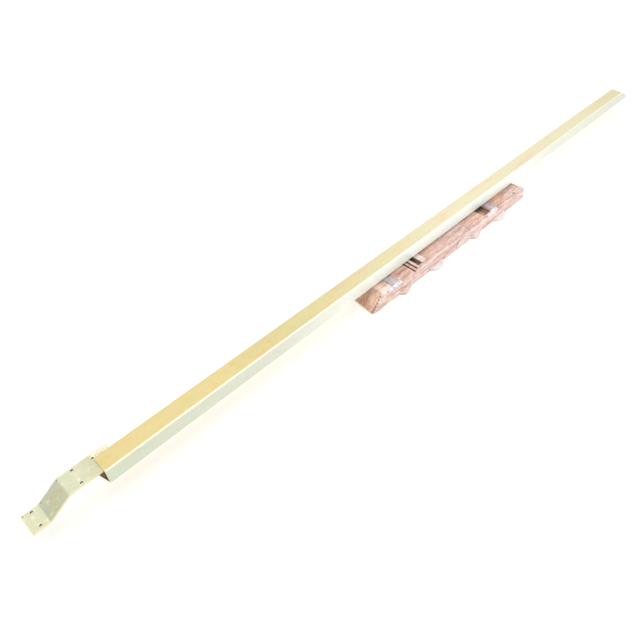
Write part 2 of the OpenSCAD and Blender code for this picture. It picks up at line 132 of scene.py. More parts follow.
class Paint:
    """One node material, built a step at a time round its Principled shader."""

    def __init__(self, name, metallic=0.0, roughness=0.5):
        self.material = bpy.data.materials.new(name)
        self.material.use_nodes = True
        self.tree = self.material.node_tree
        self.shader = self.tree.nodes["Principled BSDF"]
        self.shader.inputs["Metallic"].default_value = metallic
        self.shader.inputs["Roughness"].default_value = roughness
        self.coords = self.tree.nodes.new("ShaderNodeTexCoord")

    def link(self, value, socket):
        if hasattr(value, "is_output"):
            self.tree.links.new(value, socket)
        elif isinstance(value, tuple):
            socket.default_value = (*value, 1.0)
        else:
            socket.default_value = value

    def stretched(self, sx, sy, sz):
        """Object coordinates, scaled by a factor along each axis."""
        node = self.tree.nodes.new("ShaderNodeMapping")
        node.inputs["Scale"].default_value = (sx, sy, sz)
        self.tree.links.new(self.coords.outputs["Object"], node.inputs["Vector"])
        return node.outputs["Vector"]

    def axis(self, name, source="Object"):
        node = self.tree.nodes.new("ShaderNodeSeparateXYZ")
        self.tree.links.new(self.coords.outputs[source], node.inputs[0])
        return node.outputs[name]

    def noise(self, vector, scale, detail=3.0, rough=0.5, twist=0.0):
        node = self.tree.nodes.new("ShaderNodeTexNoise")
        self.tree.links.new(vector, node.inputs["Vector"])
        node.inputs["Scale"].default_value = scale
        node.inputs["Detail"].default_value = detail
        node.inputs["Roughness"].default_value = rough
        node.inputs["Distortion"].default_value = twist
        return node.outputs[0]

    def ramp(self, factor, *stops):
        """Colour ramp. Each stop is (position, colour)."""
        node = self.tree.nodes.new("ShaderNodeValToRGB")
        points = node.color_ramp.elements
        while len(points) < len(stops):
            points.new(0.5)
        for point, (position, colour) in zip(points, stops):
            point.position = position
            point.color = (*colour, 1.0)
        self.link(factor, node.inputs["Fac"])
        return node.outputs["Color"]

    def distance(self, x, y):
        """Distance from an upright line through (x, y), in metres."""
        dx = self.math("SUBTRACT", self.axis("X"), x)
        dy = self.math("SUBTRACT", self.axis("Y"), y)
        squares = self.math("ADD", self.math("MULTIPLY", dx, dx), self.math("MULTIPLY", dy, dy))
        return self.math("SQRT", squares)

    def curve(self, factor, low, high, out_low=0.0, out_high=1.0):
        """Straight line through two points, held at its ends."""
        node = self.tree.nodes.new("ShaderNodeMapRange")
        node.clamp = True
        self.link(factor, node.inputs["Value"])
        node.inputs["From Min"].default_value = low
        node.inputs["From Max"].default_value = high
        node.inputs["To Min"].default_value = out_low
        node.inputs["To Max"].default_value = out_high
        return node.outputs[0]

    def mix(self, factor, a, b, mode="MIX"):
        node = self.tree.nodes.new("ShaderNodeMix")
        node.data_type = "RGBA"
        node.blend_type = mode
        self.link(factor, node.inputs[0])
        self.link(a, node.inputs[6])
        self.link(b, node.inputs[7])
        return node.outputs[2]

    def math(self, operation, a, b=0.0):
        node = self.tree.nodes.new("ShaderNodeMath")
        node.operation = operation
        self.link(a, node.inputs[0])
        self.link(b, node.inputs[1])
        return node.outputs[0]

    def attribute(self, name):
        node = self.tree.nodes.new("ShaderNodeAttribute")
        node.attribute_name = name
        return node.outputs["Color"]

    def colour(self, value):
        self.link(value, self.shader.inputs["Base Color"])

    def roughness(self, value):
        self.link(value, self.shader.inputs["Roughness"])

    def bump(self, height, distance, strength=1.0):
        node = self.tree.nodes.new("ShaderNodeBump")
        node.inputs["Strength"].default_value = strength
        node.inputs["Distance"].default_value = distance
        previous = self.shader.inputs["Normal"].links
        if previous:
            self.tree.links.new(previous[0].from_socket, node.inputs["Normal"])
        self.link(height, node.inputs["Height"])
        self.tree.links.new(node.outputs["Normal"], self.shader.inputs["Normal"])


# Marks on the strap: X, Y and radius in metres.
CORNER_HOLE = (-1.0005, 0.0208, 0.002)
DIRT_SPOTS = [(-1.1340, 0.0277, 0.0012), (-1.1015, 0.0283, 0.0009), (-1.064, 0.0275, 0.001)]
channel_low, channel_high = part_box("channel")
strap_low, strap_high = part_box("end_strap")


def strap_holes():
    """Centre and radius of each hole in the strap: the bolt patterns, and the hole behind the corner."""
    holes = []
    for mount in frame["record"]["mounts"]:
        if mount["kind"] == "bolt_pattern":
            x, y, _ = mount["pos_m"]
            half = mount["dims"]["spacing_y_mm"] * MM / 2
            radius = mount["dims"]["hole_r_mm"] * MM
            holes += [(x, y - half, radius), (x, y + half, radius)]
    return holes + [CORNER_HOLE]


def passivated_steel():
    """Yellow chromate over zinc: gold on top, pale green on the front, with faint rainbow clouds. Painted
    light whitens the front towards the middle of its length, a painted highlight runs along the fold, and
    painted shade darkens the inner faces, most at the near end.
    """
    p = Paint("yellow_passivate", metallic=0.38, roughness=0.40)
    along = p.curve(p.axis("X"), -1.0, 1.0)
    forward = p.math("MULTIPLY", p.axis("Y", "Normal"), -1.0)
    upper = p.ramp(along, (0.0, (0.68, 0.55, 0.28)), (0.2, (0.72, 0.59, 0.31)), (0.5, (0.94, 0.86, 0.67)),
                   (0.85, (0.94, 0.85, 0.66)), (1.0, (0.88, 0.79, 0.55)))
    # Front faces: pale green, whitened by painted light towards the middle of the length.
    front = p.ramp(along, (0.0, (0.64, 0.68, 0.59)), (0.2, (0.68, 0.69, 0.64)), (0.42, (1.0, 1.0, 1.0)),
                   (0.64, (1.0, 1.0, 1.0)), (0.75, (0.75, 0.76, 0.75)), (1.0, (0.65, 0.68, 0.62)))
    base = p.mix(p.curve(forward, 0.35, 0.9), upper, front)
    clouds = p.noise(p.stretched(4.0, 20.0, 20.0), 1.6, 4.0, 0.6, 0.8)
    tint = p.ramp(clouds, (0.30, (1.0, 0.80, 0.62)), (0.44, (1.0, 0.97, 0.88)), (0.56, (0.92, 1.0, 0.82)),
                  (0.70, (0.90, 0.94, 1.0)))
    base = p.mix(p.curve(forward, 0.35, 0.9, 0.62, 0.32), base, tint, "MULTIPLY")
    flecks = p.noise(p.stretched(45.0, 130.0, 130.0), 1.0, 4.0, 0.65, 0.5)
    fleck_tint = p.ramp(flecks, (0.36, (1.0, 0.84, 0.66)), (0.5, (1.0, 1.0, 0.94)),
                        (0.62, (0.86, 0.95, 0.80)))
    base = p.mix(0.55, base, fleck_tint, "MULTIPLY")
    streaks = p.noise(p.stretched(3.0, 420.0, 420.0), 1.0, 3.0, 0.6)
    # More painted light on the front faces in the middle of the length.
    front_painted_light = p.math("MULTIPLY", p.curve(forward, 0.35, 0.9), p.curve(along, 0.28, 0.42))
    front_painted_light = p.math("MULTIPLY", front_painted_light, p.curve(along, 0.72, 0.60))
    base = p.mix(p.math("MULTIPLY", front_painted_light, 0.7), base, (0.86, 1.0, 0.97))
    base = p.mix(p.curve(streaks, 0.48, 0.78, 0.0, 0.18), base, (0.62, 0.50, 0.30))
    # Painted highlight along the fold between the top and the front.
    fold = p.math("MULTIPLY", p.curve(forward, 0.22, 0.5), p.curve(p.axis("Z", "Normal"), 0.22, 0.5))
    base = p.mix(p.math("MULTIPLY", fold, 0.8), base, (1.0, 0.98, 0.80))
    cut_end = p.curve(p.math("MULTIPLY", p.axis("X", "Normal"), -1.0), 0.5, 0.9)
    base = p.mix(cut_end, base, (0.90, 0.84, 0.62))
    # Painted shade on the channel's inner faces, deepest towards the near end.
    inner_y, inner_z, upper_z = channel_low[1] + 0.0013, channel_low[2] + 0.0010, channel_high[2] - 0.0013
    inside = p.math("MULTIPLY", p.curve(p.axis("Y"), inner_y, inner_y + 0.0006),
                    p.curve(p.axis("Z"), inner_z, inner_z + 0.0007))
    inside = p.math("MULTIPLY", inside, p.curve(p.axis("Z"), upper_z, upper_z - 0.0006))
    interior_shade = p.curve(p.axis("X"), -0.90, -0.99, 0.45, 0.86)
    base = p.mix(p.math("MULTIPLY", inside, interior_shade), base, (0.13, 0.09, 0.035))
    p.colour(base)
    p.roughness(p.curve(clouds, 0.3, 0.75, 0.34, 0.50))
    p.bump(streaks, 0.00006, 0.6)
    p.bump(p.noise(p.stretched(9.0, 30.0, 30.0), 1.0, 2.0), 0.0006, 0.35)
    return p.material


def pale_passivated_steel():
    """Olive-green passivated bar with golden edges, painted shade beside the channel's end, and bolt holes
    darkened by dirt and painted shade.
    """
    p = Paint("pale_passivate", metallic=0.35, roughness=0.45)
    clouds = p.noise(p.stretched(16.0, 22.0, 22.0), 1.3, 4.0, 0.6, 0.6)
    base = p.ramp(clouds, (0.30, (0.61, 0.56, 0.35)), (0.44, (0.63, 0.62, 0.42)),
                  (0.56, (0.59, 0.61, 0.44)), (0.70, (0.64, 0.61, 0.45)))
    flecks = p.noise(p.stretched(190.0, 190.0, 190.0), 1.0, 4.0, 0.7)
    base = p.mix(p.curve(flecks, 0.52, 0.70, 0.0, 0.45), base, (0.46, 0.47, 0.30))
    rubbed = p.noise(p.stretched(90.0, 90.0, 90.0), 1.0, 3.0, 0.6)
    base = p.mix(p.curve(rubbed, 0.56, 0.70, 0.0, 0.5), base, (0.88, 0.88, 0.74))
    half = (strap_high[1] - strap_low[1]) / 2
    off_middle = p.math("ABSOLUTE", p.math("SUBTRACT", p.axis("Y"), strap_low[1] + half))
    rim = p.math("MAXIMUM", p.curve(off_middle, half - 0.0020, half - 0.0006),
                 p.curve(p.axis("X"), strap_low[0] + 0.0020, strap_low[0] + 0.0006))
    base = p.mix(p.math("MULTIPLY", rim, 0.7), base, (0.90, 0.72, 0.42))
    base = p.mix(p.curve(off_middle, half - 0.0003, half - 0.0001), base, (0.80, 0.72, 0.50))
    # Painted shade on the strap next to the channel's end.
    base = p.mix(p.curve(p.axis("X"), -1.030, -1.001, 0.0, 0.5), base, (0.50, 0.46, 0.25))
    tab = p.math("MULTIPLY", p.curve(p.axis("Y"), channel_high[1] - 0.0015, channel_high[1] + 0.0005),
                 p.curve(p.axis("X"), -1.004, -1.000))
    base = p.mix(p.math("MULTIPLY", tab, 0.8), base, (0.84, 0.80, 0.62))
    base = p.mix(p.math("MULTIPLY", p.math("MULTIPLY", tab, rim), 0.8), base, (0.80, 0.62, 0.30))
    # Round each hole a dark ring that is partly dirt and partly painted shade, and near-black painted shade
    # on the hole's wall.
    for x, y, radius in strap_holes():
        away = p.distance(x, y)
        base = p.mix(p.curve(away, radius + 0.0007, radius + 0.0001, 0.0, 0.6), base, (0.20, 0.15, 0.07))
        base = p.mix(p.curve(away, radius + 0.0003, radius), base, (0.035, 0.025, 0.012))
    for x, y, radius in DIRT_SPOTS:
        spot = p.curve(p.distance(x, y), 1.5 * radius, 0.5 * radius, 0.0, 0.85)
        base = p.mix(spot, base, (0.10, 0.07, 0.03))
    p.colour(base)
    p.roughness(p.curve(clouds, 0.3, 0.7, 0.36, 0.54))
    p.bump(rubbed, 0.0001, 0.5)
    return p.material


def weld_metal():
    p = Paint("weld_metal", metallic=0.3, roughness=0.42)
    spatter = p.noise(p.stretched(420.0, 420.0, 420.0), 1.0, 3.0, 0.6)
    base = p.ramp(spatter, (0.34, (0.46, 0.38, 0.22)), (0.46, (0.80, 0.75, 0.58)),
                  (0.6, (0.93, 0.91, 0.80)))
    p.colour(base)
    p.bump(spatter, 0.0003, 0.6)
    return p.material


def wood(name, dark, middle, light, grain=1.0, uses_tint=False):
    """Timber with its grain along X."""
    p = Paint(name, roughness=0.8)
    broad = p.noise(p.stretched(5.0 * grain, 40.0 * grain, 40.0 * grain), 1.0, 4.0, 0.6, 1.2)
    fibre = p.noise(p.stretched(11.0 * grain, 260.0 * grain, 260.0 * grain), 1.0, 5.0, 0.7, 0.5)
    base = p.ramp(broad, (0.30, dark), (0.48, middle), (0.66, light))
    base = p.mix(p.curve(fibre, 0.34, 0.56, 0.5, 0.0), base, dark)
    blotches = p.noise(p.stretched(60.0 * grain, 110.0 * grain, 110.0 * grain), 1.0, 4.0, 0.6, 0.6)
    base = p.mix(p.curve(blotches, 0.52, 0.68, 0.0, 0.45), base, light)
    base = p.mix(p.curve(blotches, 0.46, 0.34, 0.0, 0.28), base, tuple(0.8 * c for c in dark))
    pores = p.noise(p.stretched(60.0 * grain, 900.0 * grain, 900.0 * grain), 1.0, 2.0, 0.5)
    base = p.mix(p.curve(pores, 0.62, 0.72, 0.0, 0.45), base, tuple(0.45 * c for c in dark))
    if uses_tint:
        base = p.mix(1.0, base, p.attribute("tint"), "MULTIPLY")
    p.colour(base)
    p.roughness(p.curve(fibre, 0.3, 0.7, 0.70, 0.92))
    p.bump(fibre, 0.0007, 0.8)
    p.bump(blotches, 0.0009, 0.5)
    p.bump(pores, 0.0003, 0.5)
    return p.material


def metal(name, light, dark, roughness, dirt, metallic=0.9, streaks=(40.0, 300.0, 300.0)):
    """Plain or plated metal, rubbed along its length, with dirt or rust in patches."""
    p = Paint(name, metallic=metallic, roughness=roughness)
    clouds = p.noise(p.stretched(60.0, 60.0, 60.0), 1.0, 4.0, 0.6)
    base = p.mix(p.curve(clouds, 0.35, 0.68), light, dark)
    lines = p.noise(p.stretched(*streaks), 1.0, 3.0, 0.6)
    base = p.mix(p.curve(lines, 0.45, 0.75, 0.0, 0.35), base, dark)
    patches = p.noise(p.stretched(170.0, 170.0, 170.0), 1.0, 5.0, 0.7)
    base = p.mix(p.curve(patches, 0.58, 0.70, 0.0, 0.55), base, dirt)
    p.colour(base)
    p.roughness(p.curve(patches, 0.35, 0.7, roughness, min(1.0, roughness + 0.25)))
    p.bump(lines, 0.00008, 0.5)
    return p.material


def banding_steel():
    """Grey strip with a violet cast and patches of rust."""
    p = Paint("grey_steel", metallic=0.45, roughness=0.5)
    clouds = p.noise(p.stretched(70.0, 50.0, 60.0), 1.0, 4.0, 0.6)
    base = p.ramp(clouds, (0.34, (0.40, 0.32, 0.34)), (0.5, (0.54, 0.45, 0.47)), (0.64, (0.66, 0.58, 0.62)))
    rust = p.noise(p.stretched(150.0, 150.0, 150.0), 1.0, 5.0, 0.7)
    base = p.mix(p.curve(rust, 0.55, 0.68, 0.0, 0.7), base, (0.36, 0.22, 0.16))
    lines = p.noise(p.stretched(420.0, 30.0, 30.0), 1.0, 3.0, 0.6)
    base = p.mix(p.curve(lines, 0.5, 0.72, 0.0, 0.4), base, (0.36, 0.30, 0.32))
    p.colour(base)
    p.roughness(p.curve(rust, 0.4, 0.7, 0.42, 0.8))
    p.bump(rust, 0.0002, 0.6)
    return p.material


def bright_zinc(name, sheen):
    """Bright plating with a bluish-violet sheen in places, and painted shade that greys the faces turned
    away from straight up. A sheen of 0 is plain white.
    """
    p = Paint(name, metallic=0.35, roughness=0.3)
    clouds = p.noise(p.stretched(75.0, 90.0, 90.0), 1.0, 3.0, 0.55, 0.4)
    base = p.ramp(clouds, (0.34, (0.54, 0.46, 0.64)), (0.44, (0.76, 0.71, 0.80)),
                  (0.56, (0.95, 0.92, 0.96)), (0.70, (0.60, 0.66, 0.84)))
    base = p.mix(1.0 - sheen, base, (0.95, 0.95, 0.96))
    # Painted shade: faces that turn away from straight up are greyed.
    base = p.mix(p.curve(p.axis("Z", "Normal"), 0.55, 0.15, 0.0, 0.6), base, (0.42, 0.38, 0.42))
    marks = p.noise(p.stretched(260.0, 260.0, 260.0), 1.0, 4.0, 0.7)
    base = p.mix(p.curve(marks, 0.60, 0.72, 0.0, 0.5), base, (0.55, 0.50, 0.50))
    p.colour(base)
    p.roughness(p.curve(marks, 0.4, 0.7, 0.24, 0.5))
    p.bump(clouds, 0.0002, 0.4)
    return p.material


def nylon():
    p = Paint("nylon", roughness=0.45)
    clouds = p.noise(p.stretched(90.0, 90.0, 90.0), 1.0, 3.0)
    p.colour(p.ramp(clouds, (0.3, (0.74, 0.70, 0.60)), (0.7, (0.86, 0.84, 0.76))))
    p.bump(clouds, 0.0001, 0.4)
    return p.material


SLOTS = {
    "yellow_passivate": passivated_steel(),
    "pale_passivate": pale_passivated_steel(),
    "rough_wood": wood("rough_wood", (0.42, 0.255, 0.205), (0.66, 0.46, 0.395), (0.83, 0.67, 0.615),
                       uses_tint=True),
    "pale_wood": wood("pale_wood", (0.58, 0.40, 0.33), (0.80, 0.64, 0.57), (0.90, 0.79, 0.74), grain=1.6),
    "grey_steel": banding_steel(),
    "bright_zinc": bright_zinc("bright_zinc", 0.8),
    "screw_steel": metal("screw_steel", (0.40, 0.41, 0.46), (0.24, 0.24, 0.27), 0.42, (0.28, 0.18, 0.12)),
    "nylon": nylon(),
    "bronze": metal("bronze", (0.66, 0.45, 0.22), (0.42, 0.27, 0.13), 0.4, (0.25, 0.18, 0.11)),
}
WELD = weld_metal()
LUG = bright_zinc("lug_zinc", 0.15)


# ---------------------------------------------------------------- CAD nodes that keep their shape

def repaint(thing, material):
    """Gives an object one material in place of those it has."""
    thing.data.materials.clear()
    thing.data.materials.append(material)


node_slots = {row["node"]: row["material_slot"] for row in frame["record"]["subparts"]}
for name, node in frame["nodes"].items():
    repaint(node, SLOTS[node_slots[name]])

EDGE_WIDTHS = {
    "channel": 0.35, "end_strap": 0.6, "near_band": 0.3, "far_band": 0.3, "wear_plate": 0.25,
    "swivel_plate": 0.3, "swivel_stud": 0.3, "stop_pin": 0.25, "clamp_washer": 0.2, "bearing_washer": 0.15,
    "swivel_bush": 0.2, "plug_screw": 0.3, "end_screw": 0.15, "near_band_screws": 0.15,
    "far_band_screws": 0.15, "swivel_plate_screws": 0.15, "bar_nails": 0.15, "end_plug": 0.4,
    "wear_plate_pins": 0.15,
}


def soften_edges(node, width_mm):
    """Breaks the sharp edges of a CAD node, without changing its mesh."""
    bevel = node.modifiers.new("broken_edges", "BEVEL")
    bevel.width = width_mm * MM
    bevel.segments = 2
    bevel.limit_method = "ANGLE"
    bevel.angle_limit = math.radians(35)
    bevel.harden_normals = False


for name, width in EDGE_WIDTHS.items():
    soften_edges(frame["nodes"][name], width)


# ---------------------------------------------------------------- mesh helpers

def add_piece(name, mesh, body, slot, *stands_for):
    """Links a mesh as a piece that rides on a body and takes the place of CAD nodes."""
    piece = bpy.data.objects.new(name, mesh)
    bpy.context.collection.objects.link(piece)
    mesh.materials.append(SLOTS[slot])
    if stands_for:
        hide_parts(*stands_for)
    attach(piece, body)
    return piece


def smooth(mesh, angle=40):
    mesh.shade_smooth()
    mesh.set_sharp_from_angle(angle=math.radians(angle))


def face_outwards(mesh):
    """Turns the normals of a closed mesh outwards."""
    work = bmesh.new()
    work.from_mesh(mesh)
    bmesh.ops.recalc_face_normals(work, faces=work.faces)
    work.to_mesh(mesh)
    work.free()


def fbm(x, y, z=0.0, octaves=3):
    """Fractal noise in about -1 to 1."""
    return noise.fractal(Vector((x, y, z)), 0.6, 2.0, octaves)


def clamp(value, low=0.0, high=1.0):
    return max(low, min(high, value))


def ease(value):
    value = clamp(value)
    return value * value * (3 - 2 * value)


# ---------------------------------------------------------------- the wooden blade

class Cut:
    """Straight-sided recess in the blade's top, in millimetres."""

    def __init__(self, x0, x1, y0, y1, depth, tint=(1.0, 1.0, 1.0), shades=((0, 0.25), (8, 1.0))):
        self.x0, self.x1, self.y0, self.y1, self.depth, self.tint = x0, x1, y0, y1, depth, tint
        self.shades = shades

    def holds(self, x, y):
        return self.x0 < x < self.x1 and self.y0 < y < self.y1

    def colour(self, x, y):
        """Floor colour: brightness by distance from its wall at the lower X, with painted shadow beside that
        wall, and painted shade that darkens it towards the handle.
        """
        away = x - self.x0
        shade = self.shades[-1][1]
        for (d0, s0), (d1, s1) in zip(self.shades, self.shades[1:]):
            if d0 <= away < d1:
                shade = s0 + (s1 - s0) * (away - d0) / (d1 - d0)
        # Painted shade from the handle above.
        shade *= 1.0 - 0.65 * ease((y + 32.0) / 18.0)
        return tuple(c * shade for c in self.tint)


def node_box(name):
    """Lowest and highest corner of a CAD node in millimetres."""
    low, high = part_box(name)
    return [1000 * v for v in low], [1000 * v for v in high]


def recess_for(name, slip=0.35, tint=(0.35, 0.28, 0.26)):
    """Recess for a CAD node that is let into the blade's top, with a little slip round it."""
    low, high = node_box(name)
    return Cut(low[0] - slip, high[0] + slip, low[1] - slip, high[1] + slip, BLADE_TOP - low[2], tint)


blade_low, blade_high = node_box("blade")
BLADE_TOP = blade_high[2]
BLADE_END = blade_high[0]
BLADE_BACK = blade_high[1]
BLADE_FRONT = -55.5
NEAR_SLOPE = 38.0
FAR_SLOPE = 27.0
FAR_FACE = 17.0
NEAR_CORNER = (14.0, 8.0)
FAR_CORNER = (36.0, 26.0)
FAR_FOOT = (27.0, 19.0)
SWELL_OUT = BLADE_FRONT - blade_low[1] - 0.4
# Dark floor colour of the slot and the kerfs: painted shade in these recesses. The slot's shades lift it to
# brown away from its wall.
SHADED_RECESS_FLOOR = (0.10, 0.07, 0.06)
BROWN = (0.86, 0.66, 0.56)
CUT_BACK = BLADE_BACK - 14.0
# Brightness across the slot and the pocket by distance from the lower-X wall: the lowest values, beside that
# wall, are painted shadow.
SLOT_SHADES = ((0, 0.4), (7, 0.9), (10, 5.0), (14, 6.0))
POCKET_SHADES = ((0, 0.12), (6, 0.16), (8, 1.3), (13, 1.25), (15, 0.5), (20, 1.0), (25, 0.4), (36, 0.7))

wear_low, _ = node_box("wear_plate")
band_low, _ = node_box("far_band")
slot_x = wear_low[0] - 9.0
cuts = [
    recess_for("near_band"),
    recess_for("far_band"),
    recess_for("wear_plate", 0.7),
    recess_for("swivel_plate"),
    Cut(slot_x - 7, slot_x + 7, wear_low[1], CUT_BACK, 7.0, SHADED_RECESS_FLOOR, SLOT_SHADES),
    Cut(slot_x - 20.5, slot_x - 15.5, wear_low[1] - 5, CUT_BACK, 5.0, SHADED_RECESS_FLOOR, ((0, 0.9), (5, 2.0))),
    Cut(slot_x - 32.4, slot_x - 27.6, wear_low[1] - 9, CUT_BACK, 4.0, SHADED_RECESS_FLOOR, ((0, 2.4), (5, 1.6))),
    Cut(band_low[0] - 41, band_low[0] - 5, BLADE_FRONT + 9, CUT_BACK, 7.0, BROWN, POCKET_SHADES),
]
SWELLINGS = [(-249.0, 64.0), (50.0, 68.0)]
STEP_ALONG = 1.9
STEP_ACROSS = 2.2
EDGE_STRIP = 6.0
NEAR_SQUEEZE = 20.0
SIDE_ROWS = 19
ARC_ROWS = 4
BOTTOM_ROWS = 10
UNDERSIDE = (0.75, 0.7, 0.68)


def grid_lines(low, high, step, hard_edges, gap=0.12):
    """Even grid lines, with a close pair on each side of every hard edge."""
    hard = [e + side * gap for e in hard_edges for side in (-1, 1) if low < e < high]
    count = int(round((high - low) / step))
    even = [low + (high - low) * i / count for i in range(count + 1)]
    kept = [v for v in even if v in (low, high) or all(abs(v - h) > 0.35 * step for h in hard)]
    return sorted(kept + hard)


def swelling(x):
    """How far the front edge stands out at x: a blunt rise, then a long fall."""
    out = 0.0
    for start, length in SWELLINGS:
        u = (x - start) / length
        if 0 < u < 1:
            out = max(out, ease(u / 0.28) * (1 - ease((u - 0.2) / 0.8)))
    return out * SWELL_OUT


def corner_inset(x, radius, depth):
    """How far a rounded corner, radius along X and depth along Y, pulls the edge in near an end."""
    past = (abs(x) - (BLADE_END - radius)) / radius
    if past <= 0:
        return 0.0
    return depth * (1 - math.sqrt(max(0.0, 1 - past * past)))


def end_pull(x, y):
    """How far the two ends draw back behind their front corners. Positive at the near end."""
    near = 9.0 * (1 - math.exp(-max(0.0, y + 50.0) / 20.0)) * ease((-x - 290.0) / (BLADE_END - 290.0))
    far = 12.0 * (1 - math.exp(-(max(0.0, y + 40.0) / 30.0) ** 2)) * ease((x - 300.0) / (BLADE_END - 300.0))
    return near - far


def near_fitting(x):
    """1 beside a cut, falling to 0 away from all of them."""
    return max(ease(1 - (max(c.x0 - x, x - c.x1, 0.0)) / 9.0) for c in cuts)


def edge_y(x, side):
    """Y of the blade's front edge (side -1) or back edge (side 1) at x."""
    radius, depth = NEAR_CORNER if x < 0 else FAR_CORNER
    wander = 1.6 * (fbm(x * 0.012, 3.0 * side) * 0.5 + 0.5)
    wander += 0.8 * (fbm(x * 0.05, 7.0 * side) * 0.5 + 0.5)
    inset = corner_inset(x, radius, depth) + 0.3 + wander * (1 - 0.7 * near_fitting(x))
    return BLADE_FRONT + inset if side < 0 else BLADE_BACK - inset


def top_z(x):
    """Height of the top along the blade: a hewn slope at the near end, a rounded-over far end."""
    if x < 0:
        slope = (BLADE_END + x) / NEAR_SLOPE
        return max(1.2, BLADE_TOP * clamp(slope) - 1.2 * math.exp(-((slope - 1.0) / 0.07) ** 2))
    past = (x - (BLADE_END - FAR_SLOPE)) / FAR_SLOPE
    height = FAR_FACE + (BLADE_TOP - FAR_FACE) * clamp(1 - past)
    height -= 2.2 * math.exp(-(past / 0.45) ** 2)
    return max(1.2, height - 8.0 * clamp((past - 0.6) / 0.4) ** 2)


def hewn(x, y, strength):
    """Depth of the hewing marks and the open grain below the sawn surface."""
    facets = 0.5 + 0.5 * fbm(x * 0.016, y * 0.05, 5.0)
    grain = 0.5 + 0.5 * fbm(x * 0.03, y * 0.9, 9.0, 4)
    return strength * (0.9 * facets + 0.45 * grain)


def line_distance(px, py, ax, ay, bx, by):
    """Distance from the point p to the straight line between the points a and b."""
    dx, dy = bx - ax, by - ay
    t = clamp(((px - ax) * dx + (py - ay) * dy) / (dx * dx + dy * dy))
    return math.hypot(px - ax - t * dx, py - ay - t * dy)


SLOPE_DOTS = [(-311, -45.5), (-317, -46.5), (-323, -48), (-329, -48.5), (-334, -49), (-339, -48.5)]
TOP_CRACKS = [(-52, -38, 30, -33), (20, -47, 70, -43), (196, -37, 262, -28), (-236, -31, -205, -27),
              (280, -38, 312, -34)]
FRONT_CRACKS = [(-12, 7, -7, 20), (-7, 20, 2, 33), (120, 15, 176, 11), (240, 20, 305, 16)]


def build_blade():
    """The hewn block, as rings round it from its near end to its far end."""
    xs = grid_lines(-BLADE_END, BLADE_END, STEP_ALONG, [e for c in cuts for e in (c.x0, c.x1)])
    cut_ends = sorted({round(e, 3) for c in cuts for e in (c.y0, c.y1)})
    ys = grid_lines(BLADE_FRONT + 2, BLADE_BACK - 2, STEP_ACROSS, cut_ends)
    y_first, y_last = ys[0], ys[-1]
    rings, tints = [], []
    for x in xs:
        top = top_z(x)
        front, back = edge_y(x, -1), edge_y(x, 1)
        radius = min(2.0 + 2.5 * (1 - near_fitting(x)) + 5.0 * ease((x - 290.0) / 30.0), 0.4 * top)
        ring, shade = [], []
        start, stop = front + radius, back - radius
        squeeze = ease((x - BLADE_END + FAR_CORNER[0] + 2) / 12) + ease((-x - BLADE_END + NEAR_SQUEEZE) / 12)
        for y_row in ys:
            even = start + (stop - start) * (y_row - y_first) / (y_last - y_first)
            if y_row < y_first + EDGE_STRIP:
                fixed = start + (y_first + EDGE_STRIP - start) * (y_row - y_first) / EDGE_STRIP
            elif y_row > y_last - EDGE_STRIP:
                fixed = stop - (stop - y_last + EDGE_STRIP) * (y_last - y_row) / EDGE_STRIP
            else:
                fixed = y_row
            y = fixed + (even - fixed) * squeeze
            depth, tint = 0.0, None
            for cut in cuts:
                if cut.holds(x, y_row) and cut.depth > depth:
                    depth, tint = cut.depth, cut.colour(x, y)
            rough = hewn(x, y, 0.25 + 0.75 * (1 - near_fitting(x)))
            for ax, ay, bx, by in TOP_CRACKS:
                gap = line_distance(x, y + 1.5 * fbm(x * 0.06, 2.0), ax, ay, bx, by)
                rough += 1.6 * clamp(1 - gap / 1.6)
            z = max(0.6, top - depth - min(rough, 0.4 * top))
            ring.append((x, y, z))
            shade.append(tint or top_tint(x, y))
        for row in range(1, SIDE_ROWS + 1):
            ring.append(side_point(x, row, 1, back, top, radius))
            shade.append(side_tint(x, ring[-1][2]))
        y0, y1 = ring[-1][1], side_point(x, SIDE_ROWS, -1, front, top, radius)[1]
        for row in range(1, BOTTOM_ROWS):
            y = y0 + (y1 - y0) * row / BOTTOM_ROWS
            ring.append((x, y, 0.25 * (0.5 + 0.5 * fbm(x * 0.02, y * 0.1, 11.0))))
            shade.append(UNDERSIDE)
        for row in range(SIDE_ROWS, 0, -1):
            ring.append(side_point(x, row, -1, front, top, radius))
            shade.append(side_tint(x, ring[-1][2]))
        rings.append([(px + end_pull(px, py), py, pz) for px, py, pz in ring])
        tints.append(shade)
    return loft("blade_wood", rings, tints)


def side_point(x, row, side, edge, top, radius):
    """Point on the front or back face: first round the upper edge, then down to the sole."""
    if row <= ARC_ROWS:
        angle = math.pi / 2 * row / ARC_ROWS
        y = radius * (1 - math.sin(angle))
        z = top - radius * (1 - math.cos(angle))
        share = 0.0
    else:
        share = (row - ARC_ROWS) / (SIDE_ROWS - ARC_ROWS)
        y = 0.0
        z = (top - radius) * (1 - share)
    hollow = 0.0
    if x > 0:
        foot = corner_inset(x, *FAR_CORNER) - corner_inset(x, *FAR_FOOT)
        hollow -= foot * (row / SIDE_ROWS) ** 0.45
    if row >= ARC_ROWS:
        height = z / max(top, 1.0)
        facets = 0.5 + 0.5 * fbm(x * 0.02, z * 0.07, 20.0 + side)
        grain = 0.5 + 0.5 * fbm(x * 0.035, z * 0.8, 31.0 + side, 4)
        hollow += (1.3 * facets + 0.5 * grain) * clamp(height * 3) * clamp(top / 12)
        if side < 0:
            for ax, az, bx, bz in FRONT_CRACKS:
                hollow += (2.0 if ax < 0 else 0.8) * clamp(1 - line_distance(x, z, ax, az, bx, bz) / 1.8)
            hollow -= swelling(x) * (1 - ease((z - 2) / 33)) ** 0.8
        if row == SIDE_ROWS:
            hollow += min(0.8, 0.3 * top)
    depth = y + hollow
    return (x, edge + depth if side < 0 else edge - depth, max(0.0, z))


